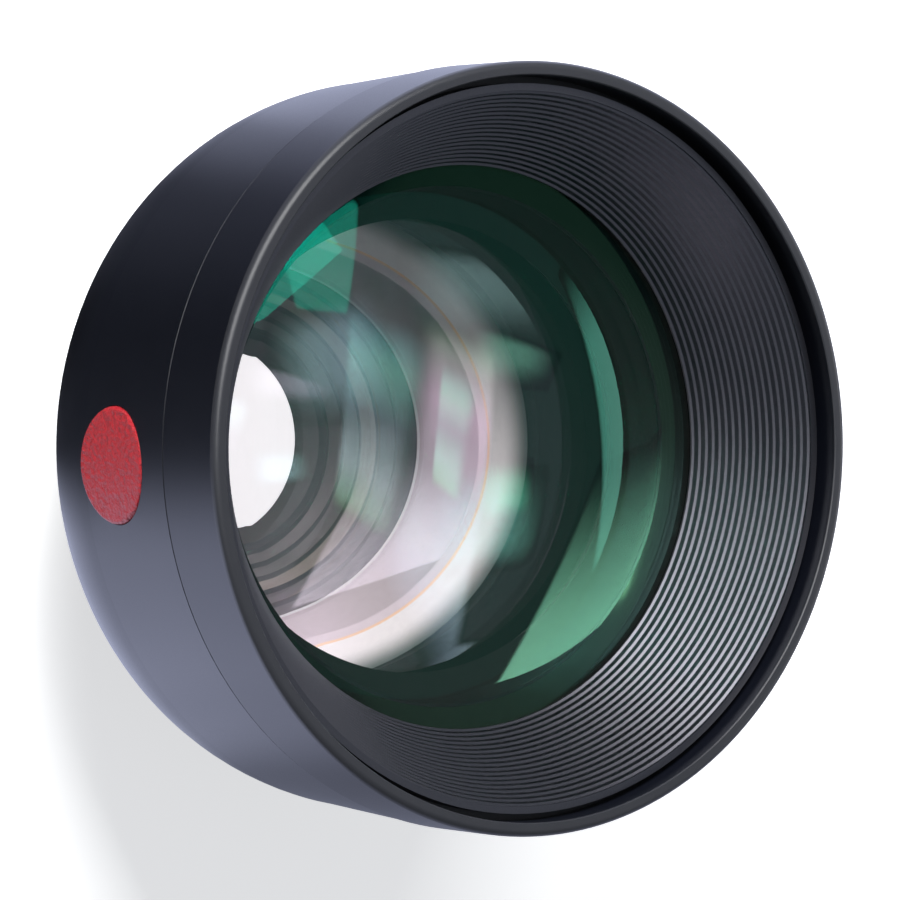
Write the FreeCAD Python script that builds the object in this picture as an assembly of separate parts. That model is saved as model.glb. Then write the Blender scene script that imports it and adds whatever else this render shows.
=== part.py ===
# Screw-together telephoto attachment for a phone: a wide glass in a ribbed hood in front,
# a bayonet at the rear, and the stack of glasses, spacers and light stops between them.
# The optical axis is Z and points to the front. The rear face of the bayonet lies on Z = 0.
# The round badge sits on the -Y side. All sizes are in millimetres.
import FreeCAD, Part
import math
import os
from FreeCAD import Vector

AXIS = Vector(0, 0, 1)
ORIGIN = Vector(0, 0, 0)

# Clearances
thread_gap = 0.02        # radial play of a ring in its thread or bore
assembly_gap = 0.10      # free space past the end of a seated piece

# Bayonet mount, from the rear face upwards
neck_height = 3.6        # rear face to the seat of the flange
neck_wall = 1.3
neck_ledge = 0.4         # the bore below the cell's nose is narrower by this much
flange_thickness = 1.8
flange_edge = 0.15       # chamfer round the flange
neck_edge = 0.2          # chamfer round the rear end of the neck
lug_reach = 1.2          # how far a lug stands out of the neck
lug_thickness = 1.2
lug_rise = 0.6           # rear face to the underside of a lug
lug_count = 2
lug_angle = 56.0         # degrees that one lug covers
lug_first_angle = 0.0

# Shim, screws and pin between the mount and the barrel
shim_thickness = 0.10
shim_margin = 0.1        # shim stays this far inside the flange's edge
screw_count = 4
screw_first_angle = 45.0
screw_margin = 0.25      # flange outside and inside the screw heads
screw_r = 0.6
screw_head_r = 0.95
screw_head_height = 0.4
screw_floor = 0.2        # metal left past the end of a screw hole
screw_socket_r = 0.42
screw_socket_depth = 0.35
pin_r = 0.5
pin_angle = 90.0
pin_bite = 0.9           # depth of the pin in the flange and in the barrel

# Barrel
barrel_floor = 1.79      # foot of the barrel to the cavity for the cell
barrel_wall = 2.55       # wall beside the cell's flange
barrel_flare = 0.50      # the straight part widens by this much up to the seam
shoulder_drop = 9.05     # seam to the start of the bowl
foot_margin = 0.1        # barrel's foot past the flange of the mount
seam_chamfer = 0.09

# Hood, from the seam to the front
hood_height = 5.25
hood_step = 0.05         # hood stands out past the barrel at the seam
lip_wall = 0.8
lip_round = 0.42         # rounding of the outer front edge
lip_bevel = 0.06
mouth_groove_width = 0.42  # dark groove between the lip and the baffle
mouth_groove_depth = 1.05
spigot_shoulder = 0.75   # the part that screws into the barrel is set back by this much
spigot_wall = 1.4
spigot_depth = 2.05

# Ribbed baffle
baffle_face_drop = 1.15  # front of the hood to the front face of the baffle
baffle_face_width = 0.40
baffle_shelf_rise = 0.35  # seam to the shelf that carries the baffle
baffle_tail = 2.58       # shelf to the end that holds the front glass
baffle_tail_margin = 0.12  # tail inside the cell's rim
baffle_back_gap = 0.2    # back of the baffle to the spigot's bore
rib_count = 18
rib_overhang = 0.07      # crest of the rib next to the glass inside the glass's edge
rib_first_rise = 0.14    # that crest above the baffle's end
rib_valley = 0.33        # share of the pitch from a crest down its tread to the groove's bottom
rib_last = 0.66          # share of the last pitch up to the front face
rib_depth = 0.075

# Cushion between the baffle and the rim of the front glass
cushion_thickness = 0.32

# Front glass: a thick meniscus
front_glass_r = 16.0
front_bevel = 0.05
front_rim_drop = 0.112    # baffle's end down to the rim of the polished face
front_curve = 40.0       # radius of the front face, positive when it bulges forward
front_back_curve = 400.0
front_thickness = 6.6
front_seat_width = 1.9   # ground ring round the polished back

# Light stop behind the front glass
front_stop_thickness = 0.30
front_stop_cover = 0.2   # the stop reaches this far inside the polished back

# Cemented pair
pair_gap = 2.1           # back of the front glass to the pair, on the axis
pair_r = 12.78
pair_front_curve = 40.0
pair_joint_curve = 30.0
pair_back_curve = 60.0
flint_thickness = 1.6
crown_edge = 0.42        # thickness of the rear half at its rim
pair_hold = 1.0          # width of the rim that the front spacer holds

# Rear glass, hollow on both sides
rear_gap = 6.0           # back of the pair to the rear glass, on the axis
rear_glass_r = 10.7
rear_front_curve = -60.0
rear_back_curve = 40.0
rear_thickness = 1.6
rear_front_rim = 2.45    # ground flat ring round the hollow front face
rear_back_rim = 3.0

# Rear light stop and its retaining ring
rear_stop_thickness = 0.30
rear_stop_r = 4.25
rear_stop_flare = 0.35   # the hole opens by this much towards the glass
stop_groove_count = 5
stop_groove_inset = 0.6  # hole to the first groove
stop_groove_pitch = 0.52
stop_groove_depth = 0.10
retainer_thickness = 1.1
retainer_wall = 1.4
retainer_slot_width = 1.0
retainer_slot_depth = 0.5

# Spacers; the front one is a funnel that stands on the rim of the pair
front_spacer_depth = 2.6  # its thick upper part
front_spacer_foot = 0.8  # its foot below the funnel
front_spacer_lip = 0.18  # the funnel ends this far inside the rim that it holds
front_spacer_ridges = 3
middle_top_wall = 1.88   # the middle one's walls, from the pair's rim inwards
middle_foot_wall = 2.48
middle_spacer_ridges = 5
ridge_depth = 0.16

# Lens cell
cell_wall = 1.2          # round the front glass
cell_flange_reach = 1.16  # flange past the wall round the front glass
cell_flange_thickness = 1.7
cell_body_wall = 1.4     # round the pair
cell_nose_wall = 0.8     # round the rear glass
cell_lip = 0.8           # shelf between the middle spacer and the rear glass
cell_lip_cover = 0.4     # the shelf reaches this far over the rear glass
cell_step_drop = 0.2
nose_margin = 0.15       # nose past the retaining ring
lock_ring_thickness = 1.5
lock_ring_slot_width = 1.6
lock_ring_slot_depth = 0.6

# Badge
badge_r = 3.25
badge_drop = 5.7         # seam to the centre of the badge
badge_proud = 0.22
badge_edge = 0.2
badge_gap = 0.05
badge_floor_depth = 0.68
badge_pad = 0.10


def sag(curve, r):
    # Depth of a spherical face at radius r, positive when the face falls away to the rear
    return math.copysign(abs(curve) - math.sqrt(curve * curve - r * r), curve)


def at(r, z):
    return Vector(r, 0, z)


def line(a, b):
    return Part.LineSegment(a, b).toShape()


def face_arc(vertex_z, curve, r_from, r_to):
    # Section of a spherical glass face between two radii
    r_mid = (r_from + r_to) / 2.0
    ends = [at(r, vertex_z - sag(curve, r)) for r in (r_from, r_mid, r_to)]
    return Part.Arc(ends[0], ends[1], ends[2]).toShape()


def ends_of(edge):
    return edge.Vertexes[0].Point, edge.Vertexes[-1].Point


def section(items):
    # Closes a list of points and arcs into a wire; an arc's ends count as points
    edges = []
    here = None
    first = None
    for item in items:
        if isinstance(item, Part.Shape):
            start, end = ends_of(item)
            if here is not None and (here - start).Length > 1e-7:
                edges.append(line(here, start))
            edges.append(item)
        else:
            start = end = item
            if here is not None:
                edges.append(line(here, start))
        if first is None:
            first = start
        here = end
    if (here - first).Length > 1e-7:
        edges.append(line(here, first))
    return Part.Wire(Part.__sortEdges__(edges))


def turned(items):
    # A piece made on the lathe, from its half section
    return Part.Face(section(items)).revolve(ORIGIN, AXIS, 360)


def polar(r, angle, z):
    a = math.radians(angle)
    return Vector(r * math.cos(a), r * math.sin(a), z)


def angles(count, first):
    return [first + 360.0 * k / count for k in range(count)]


def rod(r, length, base, direction=AXIS):
    return Part.makeCylinder(r, length, base, direction)


# Radii of the lens cell and what it holds, from the glasses outwards
front_rim_r = front_glass_r - front_bevel
front_back_r = front_glass_r - front_seat_width
front_bore_r = front_glass_r + thread_gap
cell_top_r = front_bore_r + cell_wall
cell_flange_r = cell_top_r + cell_flange_reach
front_stop_r = front_back_r - front_stop_cover
pair_hold_r = pair_r - pair_hold
stack_bore_r = pair_r + thread_gap
cell_body_r = stack_bore_r + cell_body_wall
rear_front_r = rear_glass_r - rear_front_rim
rear_back_r = rear_glass_r - rear_back_rim
rear_bore_r = rear_glass_r + thread_gap
cell_lip_r = rear_glass_r - cell_lip_cover
cell_nose_r = rear_bore_r + cell_nose_wall

# Radii of the mount, the barrel, the hood and the baffle, from the cell outwards
nose_bore_r = cell_nose_r + assembly_gap
neck_bore_r = nose_bore_r - neck_ledge
neck_r = nose_bore_r + neck_wall
screw_circle_r = neck_r + screw_margin + screw_head_r
flange_r = screw_circle_r + screw_head_r + screw_margin
foot_r = flange_r + foot_margin
lower_cavity_r = cell_body_r + assembly_gap
cavity_r = cell_flange_r + thread_gap
shoulder_r = cavity_r + barrel_wall
seam_r = shoulder_r + barrel_flare
hood_r = seam_r + hood_step
mouth_r = hood_r - lip_wall
baffle_r = mouth_r - mouth_groove_width
hood_bore_r = baffle_r + thread_gap
spigot_r = seam_r - spigot_shoulder
spigot_seat_r = spigot_r + thread_gap
spigot_bore_r = spigot_r - spigot_wall
baffle_back_r = spigot_bore_r - baffle_back_gap
baffle_tail_r = cell_top_r - baffle_tail_margin

# Heights of the glass stack, from the foot of the barrel to the rim of the front glass
foot_z = neck_height + flange_thickness + shim_thickness
cavity_floor_z = foot_z + barrel_floor
cell_step_z = cavity_floor_z + assembly_gap
rear_seat_z = cell_step_z + cell_step_drop
rear_front_z = rear_seat_z + sag(rear_front_curve, rear_front_r)
rear_back_z = rear_front_z - rear_thickness
rear_foot_z = rear_back_z - sag(rear_back_curve, rear_back_r)
rear_stop_z = rear_foot_z - rear_stop_thickness
retainer_z = rear_stop_z - retainer_thickness
nose_end_z = retainer_z - nose_margin
lip_top_z = rear_seat_z + cell_lip
pair_back_z = rear_front_z + rear_gap
crown_thickness = crown_edge + sag(pair_joint_curve, pair_r) - sag(pair_back_curve, pair_r)
pair_joint_z = pair_back_z + crown_thickness
pair_front_z = pair_joint_z + flint_thickness
front_back_z = pair_front_z + pair_gap
front_seat_z = front_back_z - sag(front_back_curve, front_back_r)
front_stop_z = front_seat_z - front_stop_thickness
spacer_step_z = front_stop_z - front_spacer_depth
cell_shoulder_z = spacer_step_z - assembly_gap
cell_ledge_z = cell_shoulder_z - cell_flange_thickness
lock_ring_top_z = cell_shoulder_z + lock_ring_thickness
front_apex_z = front_back_z + front_thickness
front_rim_z = front_apex_z - sag(front_curve, front_rim_r)

# Heights of the baffle, the seam and the hood, from the rim of the front glass
baffle_end_z = front_rim_z + front_rim_drop
cell_top_z = baffle_end_z - cushion_thickness
shelf_z = baffle_end_z + baffle_tail
seam_z = shelf_z - baffle_shelf_rise
spigot_end_z = seam_z - spigot_depth
shoulder_z = seam_z - shoulder_drop
front_z = seam_z + hood_height
baffle_face_z = front_z - baffle_face_drop
groove_floor_z = baffle_face_z - mouth_groove_depth


def ridges(r_top, z_top, r_foot, z_foot, count):
    # Points down a bore wall that is cut into fine light-trap ridges
    points = []
    dr = (r_foot - r_top) / count
    dz = (z_foot - z_top) / count
    for k in range(count):
        r, z = r_top + dr * k, z_top + dz * k
        points += [at(r, z), at(r + ridge_depth, z + 0.35 * dz)]
    points.append(at(r_foot, z_foot))
    return points


def bowl_edge():
    # The barrel runs straight into an arc that curves in to the foot
    depth = shoulder_z - foot_z
    inset = shoulder_r - foot_r
    bowl_r = (inset * inset + depth * depth) / (2.0 * inset)
    centre_r = shoulder_r - bowl_r
    end_angle = math.atan2(-depth, foot_r - centre_r)
    mid = at(centre_r + bowl_r * math.cos(end_angle / 2), shoulder_z + bowl_r * math.sin(end_angle / 2))
    return Part.Arc(at(shoulder_r, shoulder_z), mid, at(foot_r, foot_z)).toShape()


def barrel_r_at(z):
    return shoulder_r + (seam_r - shoulder_r) * (z - shoulder_z) / shoulder_drop


def badge_blank(r, inner_y, outer_r):
    # Round plug through the barrel wall on the -Y side, ended by the barrel's own curve
    z = seam_z - badge_drop
    plug = rod(r, outer_r, Vector(0, -inner_y, z), Vector(0, -1, 0))
    return plug.common(rod(outer_r, 4 * r, Vector(0, 0, z - 2 * r)))


def make_barrel():
    body = turned([
        at(spigot_seat_r, seam_z),
        at(seam_r - seam_chamfer, seam_z),
        at(seam_r, seam_z - seam_chamfer),
        bowl_edge(),
        at(nose_bore_r, foot_z),
        at(nose_bore_r, cavity_floor_z),
        at(lower_cavity_r, cavity_floor_z),
        at(lower_cavity_r, cell_ledge_z),
        at(cavity_r, cell_ledge_z),
        at(cavity_r, spigot_end_z - assembly_gap),
        at(spigot_seat_r, spigot_end_z - assembly_gap),
    ])
    floor_y = barrel_r_at(seam_z - badge_drop) - badge_floor_depth
    pocket = rod(badge_r + badge_gap, badge_floor_depth * 3,
                 Vector(0, -floor_y, seam_z - badge_drop), Vector(0, -1, 0))
    body = body.cut(pocket)
    for angle in angles(screw_count, screw_first_angle):
        body = body.cut(rod(screw_r, barrel_floor - screw_floor, polar(screw_circle_r, angle, foot_z)))
    return body.cut(rod(pin_r, pin_bite, polar(screw_circle_r, pin_angle, foot_z)))


def make_badge():
    z = seam_z - badge_drop
    surface_r = barrel_r_at(z)
    inner_y = surface_r - badge_floor_depth + badge_pad
    badge = badge_blank(badge_r, inner_y, surface_r + badge_proud)
    outer = [e for e in badge.Edges
             if e.BoundBox.YMax < -inner_y - badge_edge / 2 and e.BoundBox.XLength > badge_r]
    return badge.makeFillet(badge_edge, outer)


def make_badge_pad():
    z = seam_z - badge_drop
    floor_y = barrel_r_at(z) - badge_floor_depth
    return rod(badge_r - badge_edge, badge_pad, Vector(0, -floor_y, z), Vector(0, -1, 0))


def make_front_ring():
    corner_r, corner_z = hood_r - lip_round, front_z - lip_round
    slant = lip_round * math.sqrt(0.5)
    rounding = Part.Arc(at(hood_r, corner_z), at(corner_r + slant, corner_z + slant),
                        at(corner_r, front_z)).toShape()
    return turned([
        at(spigot_r, seam_z),
        at(hood_r - seam_chamfer, seam_z),
        at(hood_r, seam_z + seam_chamfer),
        rounding,
        at(mouth_r + lip_bevel, front_z),
        at(mouth_r, front_z - lip_bevel),
        at(mouth_r, groove_floor_z),
        at(hood_bore_r, groove_floor_z),
        at(hood_bore_r, shelf_z),
        at(spigot_bore_r, shelf_z),
        at(spigot_bore_r, spigot_end_z),
        at(spigot_r, spigot_end_z),
    ])


def rib_points():
    # From the outermost rib down to the glass: riser, then tread
    first_r = front_glass_r - rib_overhang
    first_z = baffle_end_z + rib_first_rise
    pitches = rib_count - 1 + rib_last
    pitch_r = (baffle_r - baffle_face_width - first_r) / pitches
    pitch_z = (baffle_face_z - first_z) / pitches
    slope = math.hypot(pitch_r, pitch_z)
    tread_r = pitch_r * rib_valley + rib_depth * pitch_z / slope
    tread_z = pitch_z * rib_valley - rib_depth * pitch_r / slope
    points = []
    for k in reversed(range(rib_count)):
        r = first_r + pitch_r * k
        z = first_z + pitch_z * k
        points += [at(r + tread_r, z + tread_z), at(r, z)]
    points.append(at(first_r, baffle_end_z))
    return points


def make_ribbed_baffle():
    return turned([
        at(baffle_r, shelf_z),
        at(baffle_r, baffle_face_z),
        at(baffle_r - baffle_face_width, baffle_face_z),
        *rib_points(),
        at(baffle_tail_r, baffle_end_z),
        at(baffle_tail_r, baffle_end_z + baffle_tail / 4),
        at(baffle_back_r, shelf_z),
    ])


def make_cushion_ring():
    return turned([
        at(front_rim_r, front_rim_z),
        at(front_rim_r, baffle_end_z),
        at(baffle_tail_r, baffle_end_z),
        at(baffle_tail_r, cell_top_z),
        at(front_bore_r, cell_top_z),
        at(front_glass_r, cell_top_z),
        at(front_glass_r, front_rim_z - front_bevel),
    ])


def make_front_element():
    return turned([
        face_arc(front_apex_z, front_curve, 0, front_rim_r),
        at(front_glass_r, front_rim_z - front_bevel),
        at(front_glass_r, front_seat_z),
        face_arc(front_back_z, front_back_curve, front_back_r, 0),
    ])


def make_front_light_stop():
    return turned([
        at(front_stop_r, front_stop_z),
        at(front_glass_r, front_stop_z),
        at(front_glass_r, front_seat_z),
        at(front_stop_r, front_seat_z),
    ])


def make_front_spacer():
    funnel_end_r = pair_hold_r - front_spacer_lip
    funnel_end_z = pair_front_z - sag(pair_front_curve, pair_hold_r) + front_spacer_foot
    return turned([
        at(pair_r, spacer_step_z),
        at(front_glass_r, spacer_step_z),
        at(front_glass_r, front_stop_z),
        *ridges(front_stop_r, front_stop_z, funnel_end_r, funnel_end_z, front_spacer_ridges),
        face_arc(pair_front_z, pair_front_curve, pair_hold_r, pair_r),
    ])


def make_pair_flint():
    return turned([
        face_arc(pair_front_z, pair_front_curve, 0, pair_r),
        face_arc(pair_joint_z, pair_joint_curve, pair_r, 0),
    ])


def make_pair_crown():
    return turned([
        face_arc(pair_joint_z, pair_joint_curve, 0, pair_r),
        face_arc(pair_back_z, pair_back_curve, pair_r, 0),
    ])


def make_middle_spacer():
    top_r = pair_r - middle_top_wall
    top_z = pair_back_z - sag(pair_back_curve, top_r)
    return turned([
        face_arc(pair_back_z, pair_back_curve, pair_r, top_r),
        *ridges(top_r, top_z, pair_r - middle_foot_wall, lip_top_z, middle_spacer_ridges)[1:],
        at(pair_r, lip_top_z),
    ])


def make_rear_element():
    return turned([
        face_arc(rear_front_z, rear_front_curve, 0, rear_front_r),
        at(rear_glass_r, rear_seat_z),
        at(rear_glass_r, rear_foot_z),
        face_arc(rear_back_z, rear_back_curve, rear_back_r, 0),
    ])


def make_rear_light_stop():
    grooves = []
    first_r = rear_stop_r + stop_groove_inset
    for k in range(stop_groove_count):
        r = first_r + stop_groove_pitch * k
        grooves += [at(r, rear_foot_z), at(r + stop_groove_pitch / 2, rear_foot_z - stop_groove_depth)]
    grooves.append(at(first_r + stop_groove_pitch * stop_groove_count, rear_foot_z))
    return turned([
        at(rear_stop_r, rear_stop_z),
        at(rear_stop_r + rear_stop_flare, rear_foot_z),
        *grooves,
        at(rear_glass_r, rear_foot_z),
        at(rear_glass_r, rear_stop_z),
    ])


def slotted(ring, outer_r, width, depth, rear_z):
    # Two opposite notches for a pin spanner, open to the side that the spanner comes from
    box = Part.makeBox(2 * outer_r, width, depth, Vector(-outer_r, -width / 2, rear_z))
    return ring.cut(box)


def make_rear_retainer():
    inner_r = rear_glass_r - retainer_wall
    ring = turned([
        at(inner_r, retainer_z),
        at(rear_glass_r, retainer_z),
        at(rear_glass_r, rear_stop_z),
        at(inner_r, rear_stop_z),
    ])
    return slotted(ring, rear_glass_r, retainer_slot_width, retainer_slot_depth, retainer_z)


def make_lens_cell():
    return turned([
        at(front_bore_r, cell_top_z),
        at(cell_top_r, cell_top_z),
        at(cell_top_r, cell_shoulder_z),
        at(cell_flange_r, cell_shoulder_z),
        at(cell_flange_r, cell_ledge_z),
        at(cell_body_r, cell_ledge_z),
        at(cell_body_r, cell_step_z),
        at(cell_nose_r, cell_step_z),
        at(cell_nose_r, nose_end_z),
        at(rear_bore_r, nose_end_z),
        at(rear_bore_r, rear_seat_z),
        at(cell_lip_r, rear_seat_z),
        at(cell_lip_r, lip_top_z),
        at(stack_bore_r, lip_top_z),
        at(stack_bore_r, cell_shoulder_z),
        at(front_bore_r, cell_shoulder_z),
    ])


def make_cell_lock_ring():
    inner_r = cell_top_r + thread_gap
    ring = turned([
        at(inner_r, cell_shoulder_z),
        at(cell_flange_r, cell_shoulder_z),
        at(cell_flange_r, lock_ring_top_z),
        at(inner_r, lock_ring_top_z),
    ])
    return slotted(ring, cavity_r, lock_ring_slot_width, lock_ring_slot_depth,
                   lock_ring_top_z - lock_ring_slot_depth)


def lug(angle):
    # One tab of the bayonet: a sector of a ring
    block = turned([
        at(neck_bore_r, lug_rise),
        at(neck_r + lug_reach, lug_rise),
        at(neck_r + lug_reach, lug_rise + lug_thickness),
        at(neck_bore_r, lug_rise + lug_thickness),
    ])
    reach = neck_r + 2 * lug_reach
    wedge = Part.makeCylinder(reach, lug_thickness, Vector(0, 0, lug_rise), AXIS, lug_angle)
    wedge.rotate(ORIGIN, AXIS, angle - lug_angle / 2)
    return block.common(wedge)


def screw(angle):
    head_z = neck_height
    length = cavity_floor_z - screw_floor - assembly_gap - head_z
    body = rod(screw_r, length, polar(screw_circle_r, angle, head_z))
    head = Part.makeCone(screw_head_r, screw_r, screw_head_height, polar(screw_circle_r, angle, head_z))
    socket = [polar(screw_socket_r, side, 0) for side in angles(6, 0)]
    socket_face = Part.Face(Part.makePolygon(socket + socket[:1]))
    recess = socket_face.extrude(Vector(0, 0, screw_socket_depth))
    recess.translate(polar(screw_circle_r, angle, head_z))
    return body.fuse(head).cut(recess).removeSplitter()


def make_bayonet_mount():
    nose_floor_z = nose_end_z - 2 * assembly_gap
    mount = turned([
        at(neck_bore_r, 0),
        at(neck_r - neck_edge, 0),
        at(neck_r, neck_edge),
        at(neck_r, neck_height),
        at(flange_r - flange_edge, neck_height),
        at(flange_r, neck_height + flange_edge),
        at(flange_r, neck_height + flange_thickness),
        at(nose_bore_r, neck_height + flange_thickness),
        at(nose_bore_r, nose_floor_z),
        at(neck_bore_r, nose_floor_z),
    ])
    for angle in angles(lug_count, lug_first_angle):
        mount = mount.fuse(lug(angle))
    for angle in angles(screw_count, screw_first_angle):
        place = polar(screw_circle_r, angle, neck_height)
        seat = Part.makeCone(screw_head_r, screw_r, screw_head_height, place)
        mount = mount.cut(seat.fuse(rod(screw_r, flange_thickness, place)))
    flange_top_z = neck_height + flange_thickness
    pin_hole = rod(pin_r, pin_bite, polar(screw_circle_r, pin_angle, flange_top_z - pin_bite))
    return mount.cut(pin_hole).removeSplitter()


def make_mount_screws():
    return Part.makeCompound([screw(angle) for angle in angles(screw_count, screw_first_angle)])


def make_shim_ring():
    top_z = foot_z
    ring = turned([
        at(nose_bore_r, top_z - shim_thickness),
        at(flange_r - shim_margin, top_z - shim_thickness),
        at(flange_r - shim_margin, top_z),
        at(nose_bore_r, top_z),
    ])
    base_z = top_z - shim_thickness
    for angle in angles(screw_count, screw_first_angle):
        ring = ring.cut(rod(screw_r, shim_thickness, polar(screw_circle_r, angle, base_z)))
    return ring.cut(rod(pin_r, shim_thickness, polar(screw_circle_r, pin_angle, base_z)))


def make_locating_pin():
    length = 2 * pin_bite + shim_thickness
    return rod(pin_r, length, polar(screw_circle_r, pin_angle, foot_z - shim_thickness - pin_bite))


PIECES = {
    "front_ring": make_front_ring,
    "ribbed_baffle": make_ribbed_baffle,
    "cushion_ring": make_cushion_ring,
    "front_element": make_front_element,
    "front_light_stop": make_front_light_stop,
    "front_spacer": make_front_spacer,
    "pair_flint": make_pair_flint,
    "pair_crown": make_pair_crown,
    "middle_spacer": make_middle_spacer,
    "rear_element": make_rear_element,
    "rear_light_stop": make_rear_light_stop,
    "rear_retainer": make_rear_retainer,
    "lens_cell": make_lens_cell,
    "cell_lock_ring": make_cell_lock_ring,
    "barrel": make_barrel,
    "badge": make_badge,
    "badge_pad": make_badge_pad,
    "shim_ring": make_shim_ring,
    "bayonet_mount": make_bayonet_mount,
    "mount_screws": make_mount_screws,
    "locating_pin": make_locating_pin,
}

os.makedirs("parts", exist_ok=True)
for name, make in PIECES.items():
    shape = make()
    shape.exportStep("parts/" + name + ".step")
    print(name, "solids", len(shape.Solids), "valid", shape.isValid(), "volume", round(shape.Volume, 2))
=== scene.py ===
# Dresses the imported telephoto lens: coated glasses, satin black metal, ribbed baffle and red badge,
# on a white sweep, seen at the photograph's angle. Lengths are in metres, or in millimetres where a
# heading says so. Azimuth 0 is +X and 90 is +Y, as seen from the lens.
import math

import bmesh
import bpy
from mathutils import Matrix, Vector


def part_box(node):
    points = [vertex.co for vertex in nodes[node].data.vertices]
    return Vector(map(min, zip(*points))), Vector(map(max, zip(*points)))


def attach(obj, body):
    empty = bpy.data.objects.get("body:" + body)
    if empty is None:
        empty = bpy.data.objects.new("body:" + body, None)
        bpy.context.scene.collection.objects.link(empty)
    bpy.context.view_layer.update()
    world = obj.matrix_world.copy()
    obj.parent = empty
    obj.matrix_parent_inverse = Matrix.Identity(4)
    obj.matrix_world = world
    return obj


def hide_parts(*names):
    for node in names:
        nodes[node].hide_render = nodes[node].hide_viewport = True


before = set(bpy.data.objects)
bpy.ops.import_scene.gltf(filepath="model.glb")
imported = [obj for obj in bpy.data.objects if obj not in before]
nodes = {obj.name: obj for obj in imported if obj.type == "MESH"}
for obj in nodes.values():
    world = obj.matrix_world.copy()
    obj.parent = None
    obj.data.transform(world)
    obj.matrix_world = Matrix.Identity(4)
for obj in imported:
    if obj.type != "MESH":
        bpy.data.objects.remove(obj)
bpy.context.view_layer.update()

MM = 0.001
BODY = "root"
WHITE = (1, 1, 1)
BLACK = (0, 0, 0)

# Turned pieces: facets round the axis, steps along a face or a rounded edge, reach of the axis in mm
SEGMENTS = 192
FACE_STEPS = 28
ROUND_STEPS = 12
RIM_STEPS = 4
LINE_STEPS = 2
ON_AXIS = 1e-6

# Glasses in millimetres: curve of each face (positive bulges forward) and the reach of its polish
FRONT_CURVE = 40.0
FRONT_BACK_CURVE = 400.0
FRONT_THICKNESS = 6.6
FRONT_POLISH = 15.95
FRONT_BEVEL = 0.05
FRONT_BACK_POLISH = 14.1
PAIR_CURVE = 40.0
PAIR_BACK_CURVE = 60.0
REAR_CURVE = -60.0
REAR_BACK_CURVE = 40.0
REAR_THICKNESS = 1.6
REAR_POLISH = 8.25
REAR_BACK_POLISH = 7.7
REAR_CLEAR = 7.4  # the hollow back is ground as far in as this
REAR_RIM_INNER = 8.6  # the pale ring on the front begins here
REAR_EDGE = 0.10  # width of the painted glint, a fine bright line at the inner edge of both ground zones
SEAT_PLAY = 0.01  # a glass stands this far off the metal that it seats on
RIM_PAINTED_SHADE = (9.2, 10.35, (0.10, 0.13, 0.12))  # painted shade on the pale ring, darker towards its outer edge: from, to and colour

# Hood ring in millimetres
HOOD_BEVEL = 0.09
HOOD_ROUND = 0.42
HOOD_BORE = 20.3
MOUTH_R = 20.7
MOUTH_BEVEL = 0.06
MOUTH_FLOOR = 2.2
SPIGOT_R = 20.7
SPIGOT_BORE = 19.3
SPIGOT_DEPTH = 2.05
SHELF_RISE = 0.35

# Rear light stop in millimetres
STOP_HOLE = 4.25
STOP_FLARE = 0.35
STOP_GROOVES = 5
STOP_GROOVE_INSET = 0.6
STOP_GROOVE_PITCH = 0.52
STOP_GROOVE_DEPTH = 0.10
# The groove whose lighter flank is brighter still, a painted glint
STOP_GLINT_GROOVE = 2

# Line on which a turned mesh begins: distance from it in metres, and the most that a normal may lean
TURNED_NODES = ("barrel", "ribbed_baffle", "bayonet_mount")
SEAM_REACH = 1e-6
SEAM_TILT = 0.2

# Grain of each finish: cells per metre, then the strength and the depth of its relief
BLASTED_GRAIN = (14000.0, 0.10, 0.00002)
TURNED_GRAIN = (9000.0, 0.08, 0.00002)
GROUND_GRAIN = (5000.0, 0.15, 0.00003)
ENAMEL_GRAIN = (3000.0, 1.0, 0.0003)
CLOUD_CELLS = 900.0
PAINT_CELLS = 2500.0
PLAIN_CELLS = 3000.0
FINE_DETAIL = 2.0
RICH_DETAIL = 3.0

# Figures of the finishes: a share of the colour in darker or lighter cells, roughness and shine
DARKER = 0.8
ROUGH_SPREAD = 0.05
PAINT_LIGHTER = 1.6
PAINT_ROUGH = 0.06
GROUND_ROUGH = (0.55, 0.75)
GROUND_SHINE = 0.3
ENAMEL_ROUGH = 0.42
ENAMEL_COAT = 0.3
ENAMEL_COAT_ROUGH = 0.3

# Camera, fitted to the rings of the lens in the photograph
CAMERA_PLACE = Vector((-12.665, -174.505, 272.795)) * MM
CAMERA_RIGHT = Vector((0.03255, 0.82127, 0.56960))
CAMERA_DOWN = Vector((0.99859, -0.05059, 0.01588))
CAMERA_LENS = 216.53
CAMERA_SENSOR = 36.0
CAMERA_NEAR = 0.01
CAMERA_FAR = 20.0

# Floor: half its side, its paint, and how brightly it glows to the eye and to what lies behind glass
FLOOR_HALF = 3.0
FLOOR_ROUGH = 0.9
FLOOR_PAINT = (0.85, 0.85, 0.85)
FLOOR_GLOW = 0.62
FLOOR_GLOW_BEHIND_GLASS = 1.22
FLOOR_WHITE_BEHIND_GLASS = (0.92, 1, 1)

# Brightness of the floor that the outer wall mirrors, by azimuth in degrees round the lens
FLOOR_BAND = ((-180, 0.85), (-170, 0.42), (-150, 0.09), (-118, 0.01), (-92, 0.05), (-70, 0.95), (-45, 1.0),
              (-28, 0.78), (-8, 0.28), (30, 0.35), (90, 0.70), (150, 0.95), (180, 0.85))
FLOOR_BAND_TINT = (0.68, 0.73, 1.0)
FLOOR_BAND_GLOW = 1.66

# Room: the colour that lights the lens, and the white that the camera sees past the floor
ROOM_COLOUR = (0.16, 0.174, 0.20)
BACKDROP_COLOUR = (0.95, 0.96, 0.97)
ROOM_STRENGTH = 1.0

# Lamps: azimuth and elevation in degrees, distance, width and height in metres, radiance
LAMP_AIM = Vector((0, 0, 0.022))
KEY = (214, 49, 0.6, 0.60, 0.42, 3.0)
LOW_LIGHT = (200, 40, 0.6, 0.22, 0.22, 35.0)
SIDE_LIGHT = (163, 46, 0.7, 0.24, 0.24, 13.0)

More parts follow.
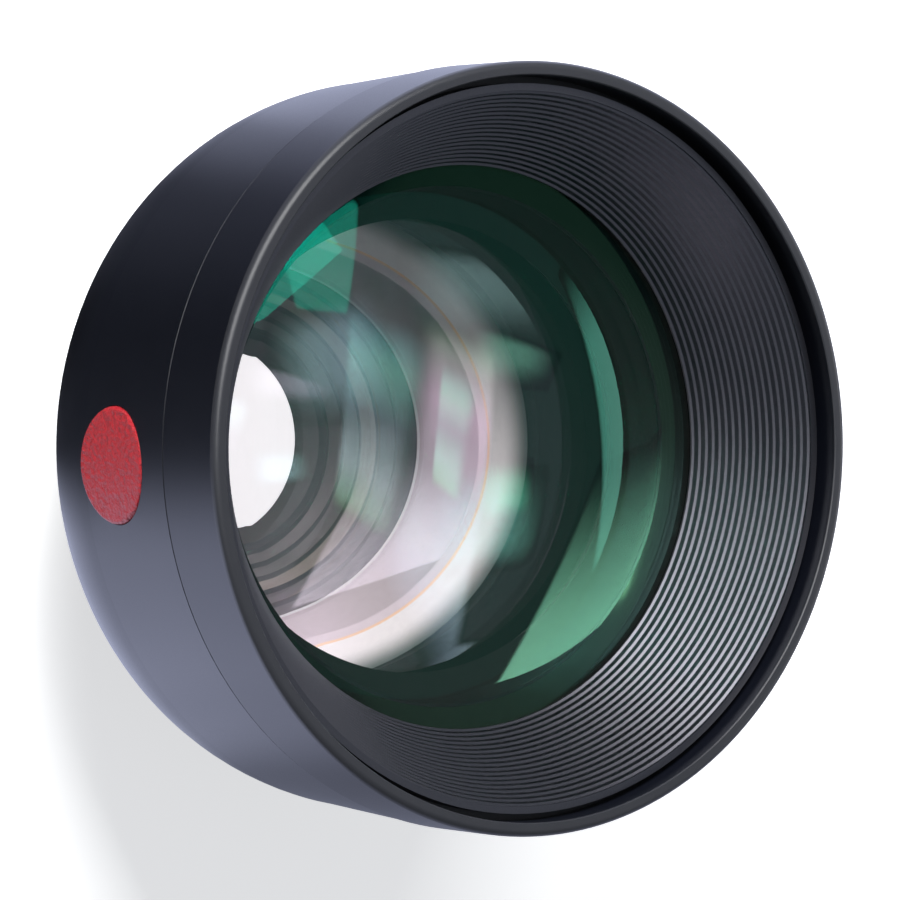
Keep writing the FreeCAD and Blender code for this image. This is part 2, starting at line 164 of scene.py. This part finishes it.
# Panels: name, azimuth and elevation of each corner, radiance, width of each soft side as a share,
# colours from the first side to the last, and whether it shows through glass or in direct mirrors
PANEL_DISTANCE = 0.9
PANEL_CORNERS = ((0, 0), (1, 0), (1, 1), (0, 1))
PANEL_SIDES = (("X", 0), ("X", 1), ("Y", 0), ("Y", 1))
PANELS = (
    ("panel_low", ((119, 54.5), (140, 72), (60, 83), (88, 68.5)),
     7.0, (0.05, 0.02, 0.02, 0.9), None, True),
    ("panel_high", ((90, 52.6), (93, 55.4), (78, 57), (76, 53)),
     8.5, (0.10, 0.40, 0.10, 0.30),
     ((0.16, 0.42, 0.18), (0.72, 0.66, 0.74), (0.18, 0.18, 0.23), (0.32, 0.58, 0.52), (0.5, 0.85, 1)),
     True),
    ("panel_foot", ((71, 55), (79, 55.5), (77.5, 63), (71, 64)),
     3.0, (0.3, 0.5, 0.4, 0.4), ((0.9, 0.93, 1), (0.85, 0.9, 1)), True),
    ("panel_side", ((87, 56.5), (95, 56.5), (95, 62), (87, 62)),
     4.4, (0.5, 0.3, 0.4, 0.4), ((0.5, 0.9, 1), (0.45, 1, 0.8)), True),
    ("panel_left", ((182, 48), (182, 68), (157, 68), (157, 48)),
     2.6, (0.05, 0.05, 0.05, 0.05), None, False),
    ("panel_right", ((117, 20), (113, 32), (64, 27), (64, 20)),
     2.6, (0.05, 0.1, 0.3, 0.2), None, False),
)


def new_object(name, data):
    made = bpy.data.objects.new(name, data)
    bpy.context.scene.collection.objects.link(made)
    return made


def add_camera():
    data = bpy.data.cameras.new("camera")
    data.lens = CAMERA_LENS
    data.sensor_width = CAMERA_SENSOR
    data.clip_start = CAMERA_NEAR
    data.clip_end = CAMERA_FAR
    camera = new_object("camera", data)
    right = CAMERA_RIGHT.normalized()
    back = right.cross(-CAMERA_DOWN).normalized()
    up = back.cross(right)
    turn = Matrix((right, up, back)).transposed().to_4x4()
    camera.matrix_world = Matrix.Translation(CAMERA_PLACE) @ turn
    bpy.context.scene.camera = camera


def new_material(name):
    material = bpy.data.materials.new(name)
    material.use_nodes = True
    return material, material.node_tree, material.node_tree.nodes["Principled BSDF"]


def noise(tree, cells, detail=FINE_DETAIL):
    # Noise over the object's own coordinates, in cells per metre
    place = tree.nodes.new("ShaderNodeTexCoord")
    texture = tree.nodes.new("ShaderNodeTexNoise")
    texture.inputs["Scale"].default_value = cells
    texture.inputs["Detail"].default_value = detail
    tree.links.new(place.outputs["Object"], texture.inputs["Vector"])
    return texture.outputs["Fac"]


def spread(tree, value, low, high):
    # Maps a value from 0..1 to low..high
    ramp = tree.nodes.new("ShaderNodeMapRange")
    ramp.inputs["To Min"].default_value = low
    ramp.inputs["To Max"].default_value = high
    tree.links.new(value, ramp.inputs["Value"])
    return ramp.outputs["Result"]


def fade(tree, value, start, end):
    # Rises softly from 0 at the start to 1 at the end
    ramp = tree.nodes.new("ShaderNodeMapRange")
    ramp.interpolation_type = "SMOOTHSTEP"
    ramp.inputs["From Min"].default_value = start
    ramp.inputs["From Max"].default_value = end
    tree.links.new(value, ramp.inputs["Value"])
    return ramp.outputs["Result"]


def tint(tree, value, dark, light):
    # Maps a value from 0..1 to the colours from dark to light
    ramp = tree.nodes.new("ShaderNodeValToRGB")
    ramp.color_ramp.elements[0].color = (*dark, 1)
    ramp.color_ramp.elements[1].color = (*light, 1)
    tree.links.new(value, ramp.inputs["Fac"])
    return ramp.outputs["Color"]


def choose(tree, factor, first, second):
    # Colour that goes from the first to the second, each a colour or an output
    mix = tree.nodes.new("ShaderNodeMix")
    mix.data_type = "RGBA"
    tree.links.new(factor, mix.inputs["Factor"])
    sides = [k for k in mix.inputs if k.type == "RGBA"]
    for side, value in zip(sides, (first, second)):
        if isinstance(value, tuple):
            side.default_value = (*value, 1)
        else:
            tree.links.new(value, side)
    return next(k for k in mix.outputs if k.type == "RGBA")


def calculate(tree, operation, *values, clamp=False):
    # Result of one operation on numbers or outputs
    node = tree.nodes.new("ShaderNodeMath")
    node.operation = operation
    node.use_clamp = clamp
    for socket, value in zip(node.inputs, values):
        if isinstance(value, (int, float)):
            socket.default_value = value
        else:
            tree.links.new(value, socket)
    return node.outputs[0]


def split_place(tree, kind):
    # The parts of a texture coordinate, by the names of their axes
    place = tree.nodes.new("ShaderNodeTexCoord")
    split = tree.nodes.new("ShaderNodeSeparateXYZ")
    tree.links.new(place.outputs[kind], split.inputs[0])
    return split.outputs


def bump(tree, shader, value, strength, depth):
    node = tree.nodes.new("ShaderNodeBump")
    node.inputs["Strength"].default_value = strength
    node.inputs["Distance"].default_value = depth
    tree.links.new(value, node.inputs["Height"])
    tree.links.new(node.outputs["Normal"], shader.inputs["Normal"])


def vary_roughness(tree, shader, value, rough):
    varied = spread(tree, value, rough - ROUGH_SPREAD, rough + ROUGH_SPREAD)
    tree.links.new(varied, shader.inputs["Roughness"])


def mottle(tree, shader, cells, colour, rough):
    # Colour and roughness that vary a little from cell to cell
    fine = noise(tree, cells)
    darker = tuple(DARKER * c for c in colour)
    tree.links.new(tint(tree, fine, darker, colour), shader.inputs["Base Color"])
    vary_roughness(tree, shader, fine, rough)
    return fine


def anodised(name, dark, light, rough, shine):
    # Bead-blasted and anodised aluminium: fine grain in the normal and in the roughness
    material, tree, shader = new_material(name)
    cells, strength, depth = BLASTED_GRAIN
    cloud = noise(tree, CLOUD_CELLS, RICH_DETAIL)
    fine = noise(tree, cells)
    tree.links.new(tint(tree, cloud, dark, light), shader.inputs["Base Color"])
    vary_roughness(tree, shader, fine, rough)
    shader.inputs["Specular IOR Level"].default_value = shine
    bump(tree, shader, fine, strength, depth)
    return material


def glass(name, ior, coating, shine=0.5):
    # Polished and coated: the coating gives the reflection its colour and strength
    material, tree, shader = new_material(name)
    shader.inputs["Base Color"].default_value = (*WHITE, 1)
    shader.inputs["Roughness"].default_value = 0.0
    shader.inputs["Transmission Weight"].default_value = 1.0
    shader.inputs["IOR"].default_value = ior
    shader.inputs["Specular Tint"].default_value = (*coating, 1)
    shader.inputs["Specular IOR Level"].default_value = shine
    return material


def painted(name, colour, sheen):
    # Black paint behind polished glass: dark, with a coloured mirror image
    material, tree, shader = new_material(name)
    lighter = tuple(PAINT_LIGHTER * c for c in colour)
    grain = noise(tree, PAINT_CELLS)
    tree.links.new(tint(tree, grain, colour, lighter), shader.inputs["Base Color"])
    shader.inputs["Roughness"].default_value = PAINT_ROUGH
    shader.inputs["Specular IOR Level"].default_value = 1.0
    shader.inputs["Specular Tint"].default_value = (*sheen, 1)
    return material


def off_axis(tree, near, far):
    # 0 up to the first distance from the lens's axis and 1 past the second, in millimetres
    place = tree.nodes.new("ShaderNodeTexCoord")
    flat = tree.nodes.new("ShaderNodeVectorMath")
    flat.operation = "MULTIPLY"
    flat.inputs[1].default_value = (1, 1, 0)
    tree.links.new(place.outputs["Object"], flat.inputs[0])
    length = tree.nodes.new("ShaderNodeVectorMath")
    length.operation = "LENGTH"
    tree.links.new(flat.outputs["Vector"], length.inputs[0])
    return fade(tree, length.outputs["Value"], near * MM, far * MM)


def ground(name, dark, light, paint=None):
    # Ground glass rim: chalky, with a fine grain. Painted shade, if given, darkens it from one radius to
    # another.
    material, tree, shader = new_material(name)
    cells, strength, depth = GROUND_GRAIN
    grain = noise(tree, cells, RICH_DETAIL)
    colour = tint(tree, grain, dark, light)
    # Painted shade: towards its outer edge the ring turns to the shade colour
    if paint:
        near, far, shade = paint
        colour = choose(tree, off_axis(tree, near, far), colour, shade)
    tree.links.new(colour, shader.inputs["Base Color"])
    tree.links.new(spread(tree, grain, *GROUND_ROUGH), shader.inputs["Roughness"])
    shader.inputs["Specular IOR Level"].default_value = GROUND_SHINE
    bump(tree, shader, grain, strength, depth)
    return material


def plain(name, colour, rough, shine=0.5, metal=0.0):
    material, tree, shader = new_material(name)
    mottle(tree, shader, PLAIN_CELLS, colour, rough)
    shader.inputs["Specular IOR Level"].default_value = shine
    shader.inputs["Metallic"].default_value = metal
    return material


def turned_metal(name, colour, rough):
    # Black-anodised ribs with a metallic sheen on their treads and faint marks of the tool
    material, tree, shader = new_material(name)
    cells, strength, depth = TURNED_GRAIN
    marks = mottle(tree, shader, cells, colour, rough)
    shader.inputs["Metallic"].default_value = 1.0
    bump(tree, shader, marks, strength, depth)
    return material


def enamel(name, dark, light):
    # Glossy enamel with an orange-peel grain
    material, tree, shader = new_material(name)
    cells, strength, depth = ENAMEL_GRAIN
    grain = noise(tree, cells, RICH_DETAIL)
    tree.links.new(tint(tree, grain, dark, light), shader.inputs["Base Color"])
    shader.inputs["Roughness"].default_value = ENAMEL_ROUGH
    shader.inputs["Coat Weight"].default_value = ENAMEL_COAT
    shader.inputs["Coat Roughness"].default_value = ENAMEL_COAT_ROUGH
    bump(tree, shader, grain, strength, depth)
    return material


# Each material: the function that makes it, and what that function takes after the name
LOOKS = {
    "anodised_black": (anodised, (0.004, 0.005, 0.009), (0.006, 0.007, 0.012), 0.34, 0.85),
    # Painted sheen: a lighter, shinier copy of the black anodising for the hood's lip
    "anodised_lip": (anodised, (0.022, 0.023, 0.028), (0.027, 0.028, 0.033), 0.34, 1.0),
    "baffle_black": (turned_metal, (0.23, 0.23, 0.26), 0.32),
    "cell_black": (plain, (0.004, 0.004, 0.004), 0.55, 0.2),
    "mount_metal": (anodised, (0.010, 0.010, 0.012), (0.014, 0.014, 0.017), 0.36, 0.5),
    "rubber_black": (plain, (0.006, 0.006, 0.006), 0.7, 0.2),
    "stop_black": (plain, (0.004, 0.004, 0.005), 0.6, 0.2),
    "rear_stop_grey": (plain, (0.05, 0.05, 0.052), 0.4, 0.5),
    # Painted highlight and painted glint: lighter copies of the stop's grey for the hole's edge and the
    # groove flanks
    "rear_stop_edge": (plain, (0.11, 0.105, 0.105), 0.4, 0.5),
    "rear_stop_bright": (plain, (0.34, 0.31, 0.28), 0.4, 0.5),
    "badge_red": (enamel, (0.36, 0.006, 0.012), (0.54, 0.022, 0.033)),
    "adhesive": (plain, (0.08, 0.08, 0.08), 0.6),
    "brass_shim": (plain, (0.72, 0.55, 0.25), 0.3, 0.5, 1.0),
    "screw_steel": (plain, (0.12, 0.12, 0.13), 0.35, 0.5, 1.0),
    "front_glass": (glass, 1.6, (0.25, 1.0, 0.55)),
    "inner_glass": (glass, 1.55, (1.0, 0.7, 0.95)),
    "front_coating": (glass, 1.6, (0.0, 0.92, 0.62), 0.8),
    "front_back_coating": (glass, 1.6, (0.30, 1.0, 0.62), 0.6),
    "pair_coating": (glass, 1.55, (1.0, 0.88, 1.0), 1.0),
    "pair_back_coating": (glass, 1.55, (0.5, 1.0, 0.85), 1.0),
    "rear_coating": (glass, 1.55, (0.8, 0.9, 1.0), 0.12),
    "rear_back_coating": (glass, 1.55, (0.6, 0.9, 1.0), 0.2),
    "edge_black": (plain, (0.006, 0.006, 0.006), 0.6, 0.2),
    "painted_seat": (painted, (0.006, 0.008, 0.007), (0.30, 1.0, 0.50)),
    # Painted glints: a fine amber line and a fine pale line at the inner edges of the rear glass's ground
    # zones
    "edge_amber": (ground, (0.88, 0.62, 0.40), (0.95, 0.72, 0.50)),
    "edge_pale": (ground, (0.90, 0.95, 0.95), (0.98, 1.0, 1.0)),
    "ground_rim": (ground, (0.82, 0.84, 0.82), (0.94, 0.96, 0.94), RIM_PAINTED_SHADE),
    # Painted shade: a darker copy of the pale ground glass, with a painted pink tint from the coating's
    # reflection
    "ground_back": (ground, (0.66, 0.61, 0.64), (0.75, 0.70, 0.73)),
}
MATERIALS = {name: make(name, *figures) for name, (make, *figures) in LOOKS.items()}

# Nodes that don't take the look of their slot
OWN_LOOK = {"rear_retainer": "rear_stop_grey"}


def sag(curve, r):
    return math.copysign(abs(curve) - math.sqrt(curve * curve - r * r), curve)


def face(vertex_z, curve, r_from, r_to, steps=FACE_STEPS):
    # Points along a spherical face between two radii
    radii = [r_from + (r_to - r_from) * k / steps for k in range(steps + 1)]
    return [(r, vertex_z - sag(curve, r)) for r in radii]


def arc(centre_r, centre_z, radius, from_degrees, to_degrees):
    # Points along a rounded edge
    swing = to_degrees - from_degrees
    turn = [math.radians(from_degrees + swing * k / ROUND_STEPS) for k in range(ROUND_STEPS + 1)]
    return [(centre_r + radius * math.cos(a), centre_z + radius * math.sin(a)) for a in turn]


def lathe(name, strips):
    # Turned piece from strips of (points, material); each strip starts where the last one ended,
    # and the edge between two strips is sharp
    mesh = bpy.data.meshes.new(name)
    grid = bmesh.new()
    angles = [math.tau * k / SEGMENTS for k in range(SEGMENTS)]
    spokes = [(math.cos(a), math.sin(a)) for a in angles]
    rows = []
    marks = []
    for index, (points, material) in enumerate(strips):
        mesh.materials.append(MATERIALS[material])
        for r, z in points[1 if rows else 0:]:
            if r < ON_AXIS:
                rows.append([grid.verts.new((0, 0, z * MM))])
            else:
                rows.append([grid.verts.new((r * MM * c, r * MM * s, z * MM)) for c, s in spokes])
            marks.append(index)
    for k in range(1, len(rows)):
        upper, lower = rows[k - 1], rows[k]
        for j in range(SEGMENTS):
            n = (j + 1) % SEGMENTS
            if len(upper) == 1:
                corners = (upper[0], lower[j], lower[n])
            elif len(lower) == 1:
                corners = (upper[j], lower[0], upper[n])
            else:
                corners = (upper[j], lower[j], lower[n], upper[n])
            quad = grid.faces.new(corners)
            quad.smooth = True
            quad.material_index = marks[k]
        if k + 1 < len(rows) and marks[k + 1] != marks[k] and len(lower) > 1:
            for j in range(SEGMENTS):
                grid.edges.get((lower[j], lower[(j + 1) % SEGMENTS])).smooth = False
    grid.to_mesh(mesh)
    grid.free()
    piece = new_object(name, mesh)
    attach(piece, BODY)
    return piece


def top_of(node):
    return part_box(node)[1].z / MM


def foot_of(node):
    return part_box(node)[0].z / MM


def rim_of(node):
    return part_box(node)[1].x / MM


def add_hood():
    # The hood ring with finer facets than the solid's mesh, so that the lip catches the light evenly
    top, foot, rim = top_of("front_ring"), foot_of("front_ring"), rim_of("front_ring")
    seam = foot + SPIGOT_DEPTH
    shelf = seam + SHELF_RISE
    groove = top - MOUTH_FLOOR
    mouth = (MOUTH_R, top - MOUTH_BEVEL)
    crest = (MOUTH_R + MOUTH_BEVEL, top)
    outline = [
        (rim, top - HOOD_ROUND),
        (rim, seam + HOOD_BEVEL),
        (rim - HOOD_BEVEL, seam),
        (SPIGOT_R, seam),
        (SPIGOT_R, foot),
        (SPIGOT_BORE, foot),
        (SPIGOT_BORE, shelf),
        (HOOD_BORE, shelf),
        (HOOD_BORE, groove),
        (MOUTH_R, groove),
        mouth,
    ]
    strips = [
        # Painted sheen: the lip's bevel and rounded edge take the lighter copy of the anodising
        ([mouth, crest], "anodised_lip"),
        ([crest] + arc(rim - HOOD_ROUND, top - HOOD_ROUND, HOOD_ROUND, 90, 0), "anodised_lip"),
    ]
    strips += [(flat, "anodised_black") for flat in zip(outline, outline[1:])]
    piece = lathe("hood_turned", strips)
    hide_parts("front_ring")


def add_front_glass():
    apex, rim = top_of("front_element"), rim_of("front_element")
    back = apex - FRONT_THICKNESS
    edge_top = apex - sag(FRONT_CURVE, FRONT_POLISH)
    seat = foot_of("front_element") + SEAT_PLAY
    piece = lathe("front_glass_polished", [
        (face(apex, FRONT_CURVE, 0, FRONT_POLISH), "front_coating"),
        ([(FRONT_POLISH, edge_top), (rim, edge_top - FRONT_BEVEL), (rim, seat)], "edge_black"),
        ([(rim, seat), (FRONT_BACK_POLISH, seat)], "painted_seat"),
        (face(back, FRONT_BACK_CURVE, FRONT_BACK_POLISH, 0), "front_back_coating"),
    ])
    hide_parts("front_element")
    return piece


def add_pair():
    front, rim = top_of("pair_flint"), rim_of("pair_flint")
    back = foot_of("pair_crown") + sag(PAIR_BACK_CURVE, rim)
    piece = lathe("cemented_pair_polished", [
        (face(front, PAIR_CURVE, 0, rim), "pair_coating"),
        ([(rim, front - sag(PAIR_CURVE, rim)), (rim, back - sag(PAIR_BACK_CURVE, rim))], "edge_black"),
        (face(back, PAIR_BACK_CURVE, rim, 0), "pair_back_coating"),
    ])
    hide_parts("pair_flint", "pair_crown")
    return piece


def add_rear_glass():
    seat, foot = top_of("rear_element") - SEAT_PLAY, foot_of("rear_element") + SEAT_PLAY
    rim = rim_of("rear_element")
    front = seat + sag(REAR_CURVE, REAR_POLISH)
    back = front - REAR_THICKNESS
    line_outer = REAR_RIM_INNER + REAR_EDGE
    back_line_outer = REAR_CLEAR + REAR_EDGE
    piece = lathe("rear_glass_polished", [
        (face(front, REAR_CURVE, 0, REAR_POLISH), "rear_coating"),
        # Painted shade: the darker, pink copy of the ground glass, here and on the back
        ([(REAR_POLISH, seat), (REAR_RIM_INNER, seat)], "ground_back"),
        # Painted glint: a fine amber line at the inner edge of the pale ring
        ([(REAR_RIM_INNER, seat), (line_outer, seat)], "edge_amber"),
        ([(line_outer, seat), (rim, seat)], "ground_rim"),
        ([(rim, seat), (rim, foot)], "edge_black"),
        ([(rim, foot), (REAR_BACK_POLISH, foot)], "ground_back"),
        (face(back, REAR_BACK_CURVE, REAR_BACK_POLISH, back_line_outer, RIM_STEPS), "ground_back"),
        # Painted glint: a fine pale line at the inner edge of the ground back
        (face(back, REAR_BACK_CURVE, back_line_outer, REAR_CLEAR, LINE_STEPS), "edge_pale"),
        (face(back, REAR_BACK_CURVE, REAR_CLEAR, 0), "rear_back_coating"),
    ])
    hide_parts("rear_element")
    return piece


def add_rear_stop():
    # Ring with the hole; its fine grooves have one duller and one lighter flank each, the lighter flank
    # and the hole's edge a painted highlight
    top, bottom = top_of("rear_light_stop"), foot_of("rear_light_stop")
    rim = rim_of("rear_light_stop")
    first = STOP_HOLE + STOP_GROOVE_INSET
    strips = [
        ([(STOP_HOLE, bottom), (STOP_HOLE + STOP_FLARE, top)], "rear_stop_edge"),
        ([(STOP_HOLE + STOP_FLARE, top), (first, top)], "rear_stop_grey"),
    ]
    for k in range(STOP_GROOVES):
        crest = first + STOP_GROOVE_PITCH * k
        valley = (crest + STOP_GROOVE_PITCH / 2, top - STOP_GROOVE_DEPTH)
        highlight_flank = "rear_stop_bright" if k == STOP_GLINT_GROOVE else "rear_stop_edge"
        strips.append(([(crest, top), valley], "rear_stop_grey"))
        strips.append(([valley, (crest + STOP_GROOVE_PITCH, top)], highlight_flank))
    last = first + STOP_GROOVE_PITCH * STOP_GROOVES
    strips.append(([(last, top), (rim, top), (rim, bottom), (STOP_HOLE, bottom)], "rear_stop_grey"))
    piece = lathe("rear_stop_turned", strips)
    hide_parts("rear_light_stop")


def add_glasses():
    for piece in (add_front_glass(), add_pair(), add_rear_glass()):
        piece.visible_shadow = False


def dress_nodes():
    for name, node in nodes.items():
        for place in node.material_slots:
            place.material = MATERIALS[OWN_LOOK.get(name, place.material.name)]


def close_seam(name):
    # A turned mesh begins and ends at +X, where its normals part by a hair; this makes them agree
    mesh = nodes[name].data
    normals = [corner.vector.copy() for corner in mesh.corner_normals]
    for loop, normal in zip(mesh.loops, normals):
        place = mesh.vertices[loop.vertex_index].co
        if abs(place.y) < SEAM_REACH and place.x > 0 and abs(normal.y) < SEAM_TILT:
            normal.y = 0
            normal.normalize()
    mesh.normals_split_custom_set(normals)


def floor_band(tree):
    # Colour that follows the azimuth round the lens
    axes = split_place(tree, "Object")
    share = tree.nodes.new("ShaderNodeMapRange")
    share.inputs["From Min"].default_value = -math.pi
    share.inputs["From Max"].default_value = math.pi
    tree.links.new(calculate(tree, "ARCTAN2", axes["Y"], axes["X"]), share.inputs["Value"])
    ramp = tree.nodes.new("ShaderNodeValToRGB")
    ramp.color_ramp.interpolation = "EASE"
    tree.links.new(share.outputs["Result"], ramp.inputs["Fac"])
    stops = ramp.color_ramp.elements
    for index, (azimuth, level) in enumerate(FLOOR_BAND):
        place_on_ramp = (azimuth + 180) / 360
        stop = stops[index] if index < 2 else stops.new(place_on_ramp)
        stop.position = place_on_ramp
        stop.color = (*(level * c for c in FLOOR_BAND_TINT), 1)
    return ramp.outputs["Color"]


def add_floor():
    # White sweep: white to the eye and through the glass, shaded for everything else
    mesh = bpy.data.meshes.new("floor")
    corners = [(-FLOOR_HALF, -FLOOR_HALF, 0), (FLOOR_HALF, -FLOOR_HALF, 0),
               (FLOOR_HALF, FLOOR_HALF, 0), (-FLOOR_HALF, FLOOR_HALF, 0)]
    mesh.from_pydata(corners, [], [(0, 1, 2, 3)])
    floor = new_object("floor", mesh)
    material, tree, shader = new_material("floor_white")
    shader.inputs["Roughness"].default_value = FLOOR_ROUGH
    shader.inputs["Specular IOR Level"].default_value = 0.0
    rays = tree.nodes.new("ShaderNodeLightPath").outputs
    behind_glass = rays["Is Transmission Ray"]
    mirrored = calculate(tree, "SUBTRACT", rays["Is Glossy Ray"], behind_glass, clamp=True)
    seen = calculate(tree, "MULTIPLY", rays["Is Camera Ray"], FLOOR_GLOW)
    seen = calculate(tree, "MULTIPLY_ADD", behind_glass, FLOOR_GLOW_BEHIND_GLASS, seen)
    strength = calculate(tree, "MULTIPLY_ADD", mirrored, FLOOR_BAND_GLOW, seen)
    white = choose(tree, behind_glass, WHITE, FLOOR_WHITE_BEHIND_GLASS)
    glow = choose(tree, mirrored, white, floor_band(tree))
    paint = choose(tree, mirrored, FLOOR_PAINT, BLACK)
    tree.links.new(glow, shader.inputs["Emission Color"])
    tree.links.new(paint, shader.inputs["Base Color"])
    tree.links.new(strength, shader.inputs["Emission Strength"])
    mesh.materials.append(material)


def direction(azimuth, elevation):
    a, e = math.radians(azimuth), math.radians(elevation)
    return Vector((math.cos(e) * math.cos(a), math.cos(e) * math.sin(a), math.sin(e)))


def add_softbox(name, azimuth, elevation, distance, width, height, radiance):
    # Rectangular lamp that faces the lens
    data = bpy.data.lights.new(name, "AREA")
    data.shape = "RECTANGLE"
    data.size = width
    data.size_y = height
    data.energy = radiance * math.pi * width * height
    lamp = new_object(name, data)
    away = direction(azimuth, elevation)
    turn = away.to_track_quat("Z", "Y").to_matrix().to_4x4()
    lamp.matrix_world = Matrix.Translation(LAMP_AIM + away * distance) @ turn
    return lamp


def add_light():
    world = bpy.data.worlds.new("room")
    bpy.context.scene.world = world
    world.use_nodes = True
    tree = world.node_tree
    back = tree.nodes["Background"]
    rays = tree.nodes.new("ShaderNodeLightPath").outputs
    sky = choose(tree, rays["Is Camera Ray"], ROOM_COLOUR, BACKDROP_COLOUR)
    tree.links.new(sky, back.inputs["Color"])
    back.inputs["Strength"].default_value = ROOM_STRENGTH
    key = add_softbox("key", *KEY)
    key.visible_transmission = False
    key.visible_diffuse = False
    low = add_softbox("low_light", *LOW_LIGHT)
    side = add_softbox("side_light", *SIDE_LIGHT)
    for lamp in (low, side):
        lamp.visible_glossy = False
        lamp.visible_transmission = False


def soft_edges(tree, widths):
    # Fades towards the four sides of a card
    axes = split_place(tree, "UV")
    total = None
    for (axis, edge), width in zip(PANEL_SIDES, widths):
        end = width if edge == 0 else 1 - width
        share = fade(tree, axes[axis], edge, end)
        total = share if total is None else calculate(tree, "MULTIPLY", total, share)
    return total


def colour_along(tree, colours):
    # Colour that changes evenly from a card's first side to its last
    ramp = tree.nodes.new("ShaderNodeValToRGB")
    stops = ramp.color_ramp.elements
    for index, colour in enumerate(colours):
        share = index / (len(colours) - 1)
        stop = stops[0] if index == 0 else stops[-1] if share == 1 else stops.new(share)
        stop.color = (*colour, 1)
    tree.links.new(split_place(tree, "UV")["Y"], ramp.inputs["Fac"])
    return ramp.outputs["Color"]


def add_panel(name, corners, radiance, widths, colours, behind_glass):
    # Softbox as a card with soft sides. It shows either through the front glass or in what mirrors
    # it directly, and it lights nothing else.
    mesh = bpy.data.meshes.new(name)
    places = [LAMP_AIM + PANEL_DISTANCE * direction(*corner) for corner in corners]
    mesh.from_pydata(places, [], [(0, 1, 2, 3)])
    layer = mesh.uv_layers.new(name="card")
    for loop, uv in zip(layer.data, PANEL_CORNERS):
        loop.uv = uv
    panel = new_object(name, mesh)
    material, tree, shader = new_material(name)
    shader.inputs["Base Color"].default_value = (*BLACK, 1)
    shader.inputs["Specular IOR Level"].default_value = 0.0
    shader.inputs["Emission Color"].default_value = (*WHITE, 1)
    if colours:
        tree.links.new(colour_along(tree, colours), shader.inputs["Emission Color"])
    strength = calculate(tree, "MULTIPLY", soft_edges(tree, widths), radiance)
    tree.links.new(strength, shader.inputs["Emission Strength"])
    mesh.materials.append(material)
    panel.visible_camera = False
    panel.visible_shadow = False
    panel.visible_diffuse = False
    panel.visible_glossy = not behind_glass
    panel.visible_transmission = behind_glass


add_camera()
add_floor()
add_light()
for panel_figures in PANELS:
    add_panel(*panel_figures)
dress_nodes()
for turned_node in TURNED_NODES:
    close_seam(turned_node)
add_hood()
add_rear_stop()
add_glasses()
bpy.context.scene.view_settings.view_transform = "Standard"
